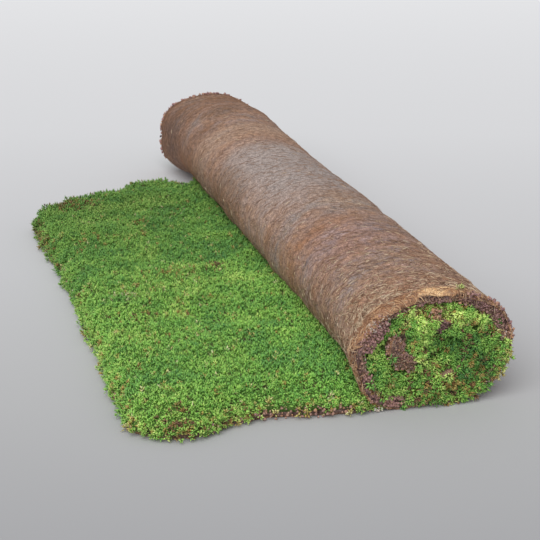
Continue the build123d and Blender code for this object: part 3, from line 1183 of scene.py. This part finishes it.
def coir_rim(shader, colour, run, y, outer, end, mottle, fine, clumps):
    """The rusty wear at the roll's ends and the pale torn patch on the near rim, over a colour."""
    reach = shader.plus(end, shader.scale(y, 0.0, 0.1, 0.0, 0.25))
    on_roll = shader.fade(run, FLAT_RUN, FLAT_RUN + 0.05)
    worn = shader.times(shader.fade(reach, 0.55, 0.85), shader.fade(mottle, 0.36, 0.56), outer, on_roll, 0.85)
    rust = shader.mix(shader.fade(y, -0.1, 0.1), (0.400, 0.210, 0.112), (0.170, 0.088, 0.052))
    colour = shader.mix(worn, colour, shader.shade(rust, fine, NOISE_SPAN, (0.5, 1.5)))
    away = shader.apart(run, top_run(RIM_PATCH_X))
    away = shader.plus(away, shader.scale(clumps, *NOISE_SPAN, -0.016, 0.016))
    inward = shader.plus(end, shader.scale(clumps, *NOISE_SPAN, 0.16, -0.16))
    torn = shader.times(
        shader.fade(away, RIM_PATCH_HALF, RIM_PATCH_HALF - 0.014), shader.fade(inward, 0.52, 0.80),
        outer, shader.fade(y, 0.1, -0.1),
    )
    pale = shader.mix(shader.fade(fine, 0.36, 0.60), (0.540, 0.290, 0.140), (0.930, 0.660, 0.370))
    return shader.mix(torn, colour, pale)


def coir_material():
    """Matted coir: mauve brown in warm and grey bands, streaked round the roll, with soiled cut edges."""
    shader = Shader("coir")
    place, (run, y, _) = shader.attribute("strip")
    _, (cut, outer, end) = shader.attribute("kind")
    streaks = shader.times(shader.plus(*(shader.streaks(place, *streak) for streak in COIR_STREAKS)), 1 / 3)
    fine = shader.noise(place, 560.0, 3.0, 0.7)
    clumps = shader.noise(place, 140.0, 3.0, 0.6)
    mottle = shader.noise(place, 34.0, 4.0)
    colour = coir_bands(shader, place, run, y, mottle)
    share = shader.scale(y, NEAR_Y, 0.1, 1.0, 0.45)
    colour = shader.shade(colour, streaks, (0.36, 0.64), (0.50, 1.50), share)
    share = shader.scale(y, NEAR_Y, 0.1, 1.0, 0.80)
    colour = shader.shade(colour, fine, NOISE_SPAN, (0.38, 1.62), share)
    colour = shader.shade(colour, clumps, NOISE_SPAN, (0.60, 1.40))
    specks = shader.times(shader.fade(fine, 0.66, 0.74), 0.6)
    colour = shader.mix(specks, colour, (0.560, 0.440, 0.310))
    colour = coir_rim(shader, colour, run, y, outer, end, mottle, fine, clumps)
    soil = shader.ramp(
        shader.noise(shader.position(), 260.0, 4.0, 0.65),
        (0.32, (0.045, 0.028, 0.026)), (0.48, (0.150, 0.092, 0.085)), (0.60, (0.250, 0.165, 0.140)),
        (0.74, (0.480, 0.390, 0.320)),
    )
    colour = shader.mix(shader.fade(cut, 0.2, 0.7), colour, soil)
    grain = shader.plus(shader.times(fine, 0.6), shader.times(clumps, 0.5), shader.times(streaks, 0.6))
    shader.bump(grain, 0.7, 0.0014)
    return shader.finish(colour, 0.88, 0.12)


def fibre_material():
    """Coir fibres, from brown roots to pale straw."""
    shader = Shader("coir_fibre")
    _, (hue, rust, _) = shader.attribute("tone")
    colour = shader.ramp(
        hue,
        (0.0, (0.130, 0.068, 0.042)), (0.35, (0.305, 0.180, 0.120)), (0.65, (0.430, 0.282, 0.196)),
        (0.85, (0.560, 0.405, 0.270)), (1.0, (0.740, 0.610, 0.440)),
    )
    colour = shader.mix(rust, colour, shader.tint(colour, (1.16, 0.90, 0.66)))
    return shader.finish(colour, 0.75, 0.2)


def clod_material():
    """Clods, from dark soil through purple and orange brown to pale root."""
    shader = Shader("coir_clod")
    _, (hue, _, _) = shader.attribute("tone")
    colour = shader.ramp(
        hue,
        (0.0, (0.090, 0.055, 0.055)), (0.35, (0.390, 0.225, 0.215)), (0.55, (0.470, 0.280, 0.225)),
        (0.75, (0.580, 0.330, 0.185)), (0.84, (0.480, 0.400, 0.360)), (0.92, (0.640, 0.540, 0.450)),
        (1.0, (0.820, 0.780, 0.680)),
    )
    return shader.finish(colour, 0.9, 0.1)


def bed_material():
    """The shaded bed under the shoots: moss, stems and a little soil."""
    shader = Shader("sedum_bed")
    place = shader.position()
    fine = shader.noise(place, 420.0, 4.0, 0.7)
    patches = shader.noise(place, 45.0, 3.0)
    moss = shader.ramp(
        fine, (0.30, (0.060, 0.130, 0.034)), (0.50, (0.140, 0.270, 0.060)), (0.68, (0.240, 0.410, 0.090)),
    )
    soil = shader.ramp(fine, (0.35, (0.040, 0.026, 0.020)), (0.65, (0.170, 0.105, 0.070)))
    colour = shader.mix(shader.fade(patches, 0.56, 0.66), moss, soil)
    shader.bump(fine, 1.0, 0.003)
    return shader.finish(colour, 0.85, 0.15)


def shoot_material():
    """Fleshy leaves: green by shoot, paler at the tips, with red, orange and straw where dry, and with each
    shoot's painted light and shade.
    """
    shader = Shader("sedum_leaf")
    _, (hue, light, dry) = shader.attribute("tone")
    green = shader.ramp(
        hue,
        (0.0, (0.090, 0.240, 0.078)), (0.28, (0.165, 0.380, 0.086)), (0.52, (0.250, 0.490, 0.098)),
        (0.78, (0.385, 0.605, 0.135)), (1.0, (0.620, 0.740, 0.230)),
    )
    withered = shader.ramp(
        dry,
        (0.45, (0.170, 0.090, 0.062)), (0.60, (0.310, 0.185, 0.075)), (0.75, (0.430, 0.310, 0.090)),
        (0.88, (0.520, 0.500, 0.170)), (1.0, (0.620, 0.610, 0.360)),
    )
    colour = shader.mix(shader.fade(dry, 0.2, 0.4), green, withered)
    # The light number brings the paler tips and each shoot's painted light and shade.
    return shader.finish(shader.tint(colour, shader.grey(light)), 0.5, 0.35)


# Stage

FLOOR_HALF = 14.0
FLOOR_DEPTHS = (-0.9, 3.1)  # away from the camera, between which the floor gets lighter
LAMP_PLACE = (-0.55, -0.75, 1.0)
LAMP_ENERGY = 2.15
LAMP_ANGLE = math.radians(58)
SKY_COLOUR = (0.97, 0.98, 1.0, 1.0)
SKY_STRENGTH = 0.5


def build_floor():
    """A pale floor, a little lighter with distance, the gradient being painted light."""
    corners = np.array([(-1, -1), (1, -1), (1, 1), (-1, 1)]) * FLOOR_HALF
    floor = make_object("floor", stacked(*corners.T, -FLOOR_GAP), np.array([(0, 1, 2, 3)]))
    shader = Shader("floor")
    place = shader.add("ShaderNodeNewGeometry").outputs["Position"]
    away = (-math.sin(CAMERA_AZIMUTH), math.cos(CAMERA_AZIMUTH), 0)
    depth = shader.vector_math("DOT_PRODUCT", place, away).outputs["Value"]
    # Painted light: the floor's colour grows lighter with distance from the camera.
    colour = shader.ramp(
        shader.scale(depth, *FLOOR_DEPTHS),
        (0.0, (0.40, 0.40, 0.41)), (0.09, (0.485, 0.485, 0.49)), (0.215, (0.58, 0.58, 0.59)),
        (0.445, (0.69, 0.69, 0.70)), (1.0, (0.785, 0.785, 0.795)),
    )
    floor.data.materials.append(shader.finish(colour, 1.0, 0.0))


def direction(place, aim):
    """Rotation that points -Z from a place to an aim."""
    return (Vector(aim) - Vector(place)).to_track_quat("-Z", "Y").to_euler()


def build_lights():
    """A broad soft light from the front left above, and an even surround."""
    lamp = bpy.data.lights.new("key", "SUN")
    lamp.energy = LAMP_ENERGY
    lamp.angle = LAMP_ANGLE
    holder = bpy.data.objects.new("key", lamp)
    holder.rotation_euler = direction(LAMP_PLACE, (0.0, 0.0, 0.0))
    bpy.context.scene.collection.objects.link(holder)
    world = bpy.data.worlds.new("surround")
    bpy.context.scene.world = world
    world.use_nodes = True
    sky = world.node_tree.nodes["Background"]
    sky.inputs["Color"].default_value = SKY_COLOUR
    sky.inputs["Strength"].default_value = SKY_STRENGTH


def build_camera():
    """The camera at the photograph's angle."""
    lens = bpy.data.cameras.new("camera")
    lens.lens = CAMERA_LENS
    lens.sensor_width = CAMERA_SENSOR
    camera = bpy.data.objects.new("camera", lens)
    away = (
        math.sin(CAMERA_AZIMUTH) * math.cos(CAMERA_ELEVATION),
        -math.cos(CAMERA_AZIMUTH) * math.cos(CAMERA_ELEVATION),
        math.sin(CAMERA_ELEVATION),
    )
    camera.location = [t + CAMERA_DISTANCE * a for t, a in zip(CAMERA_TARGET, away)]
    camera.rotation_euler = direction(camera.location, CAMERA_TARGET)
    bpy.context.scene.collection.objects.link(camera)
    bpy.context.scene.camera = camera


def dress(piece, material):
    """Gives a piece its material and body."""
    piece.data.materials.append(material)
    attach(piece, "root")


bpy.context.scene.view_settings.view_transform = "Standard"
build_camera()
build_lights()
build_floor()

carrier = build_carrier()
dress(carrier, coir_material())
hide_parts("coir_carrier")

# Runs on the roll where loose things gather
ends = strip.bend_ends
turn = (FLAT_RUN + 0.05, ends[3])
hook = (ends[6] + 0.004, strip.length)
tuft = (ends[2] - 0.03, ends[2] + 0.04)
right_rim = ((ends[0] + ends[1]) / 2 + 0.004, ends[1] + 0.03)

fibre = fibre_material()
strands = [
    roll_strands(6500, NEAR_Y + 0.004, FAR_END - 0.004, 21),
    roll_strands(500, NEAR_Y + 0.004, NEAR_Y + 0.026, 25),
    roll_strands(700, NEAR_Y - 0.003, NEAR_Y + 0.004, 27),
    roll_strands(1000, NEAR_Y + 0.006, NEAR_Y + 0.20, 55, straws=0.10),
    roll_strands(300, NEAR_Y + 0.012, NEAR_Y + 0.075, 29, tuft, 0.4),
]
dress(loose_piece("coir_fibres", strands), fibre)
fringe = [
    rim_strands(900, *turn, NEAR_Y, -1, 22),
    rim_strands(420, *hook, NEAR_Y, -1, 24),
    rim_strands(500, *turn, FAR_END, 1, 23),
]
dress(loose_piece("coir_fringe", fringe), fibre)

lumps = [
    band_clods(520, *right_rim, (-0.002, 0.017), FINE_CLODS, 3, NEAR_Y, 31),
    band_clods(120, *right_rim, (-0.003, 0.010), COARSE_CLODS, 3, NEAR_Y, 49),
    band_clods(260, right_rim[1], ends[2], (0.008, 0.016), FINE_CLODS, 2, NEAR_Y, 33),
    band_clods(340, ends[2], ends[3] + 0.02, (0.001, 0.018), FINE_CLODS, 0, NEAR_Y, 35),
    band_clods(460, *hook, (-0.004, 0.019), FINE_CLODS, 0, NEAR_Y, 37),
    band_clods(600, *turn, (-0.002, 0.008), COARSE_CLODS, 1, FAR_END, 47),
    patch_clods(39),
    edge_clods(2000, 43),
]
dress(loose_piece("coir_clods", lumps), clod_material())

bed = build_bed()
dress(bed, bed_material())
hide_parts("sedum_planting")

leaf = shoot_material()
plants = build_flat_shoots(spacing=0.0049, leaves=7, bands=3)
plants.append(build_edge_shoots(leaves=8))
plants.append(build_rim_shoots(leaves=7))
plants.append(build_end_shoots("sedum_shoots_near_end", -1, 0.0040, 13, 101))
plants.append(build_end_shoots("sedum_shoots_far_end", 1, 0.0044, 11, 111))
for plant in plants:
    dress(plant, leaf)
